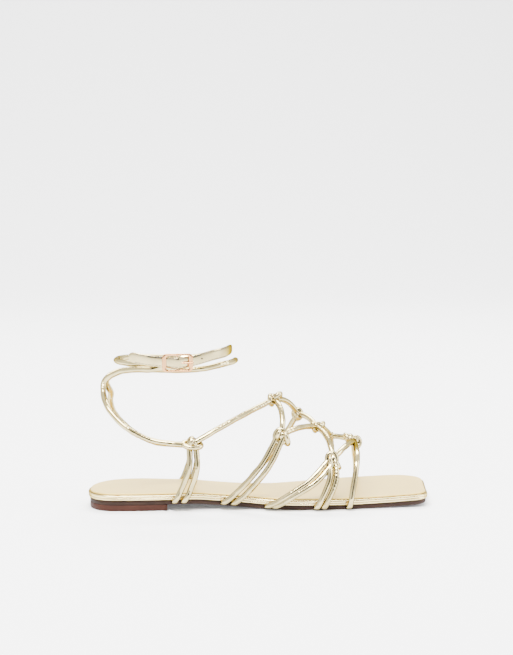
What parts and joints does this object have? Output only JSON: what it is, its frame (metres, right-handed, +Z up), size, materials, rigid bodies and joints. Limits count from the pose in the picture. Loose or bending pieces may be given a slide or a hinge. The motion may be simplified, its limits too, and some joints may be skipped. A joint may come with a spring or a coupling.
{
  "type": "gladiator sandal",
  "caption": "Flat knotted-cord gladiator sandal in pale metallic gold with a double-wrap ankle strap and buckle, right foot.",
  "frame": {"origin": "middle of the heel block's underside, on the floor", "axes": "+X from heel to toe, +Y towards the inner (medial) side of the foot, +Z up"},
  "size_m": [0.25, 0.0897, 0.1165],
  "materials": {
    "gold_leather": "metallic, smooth",
    "gold_footbed": "metallic, smooth",
    "sock_leather": "satin",
    "brown_sole": "matt",
    "brown_heel": "matt",
    "rose_gold": "polished"
  },
  "bodies": {
    "root": {"outsole": "brown_sole", "heel_block": "brown_heel", "footbed": "gold_footbed", "insole_sock": "sock_leather", "strap_cage": "gold_leather", "ankle_strap_long": "gold_leather", "ankle_strap_short": "gold_leather", "buckle_frame": "rose_gold", "buckle_prong": "rose_gold"}
  },
  "joints": []
}
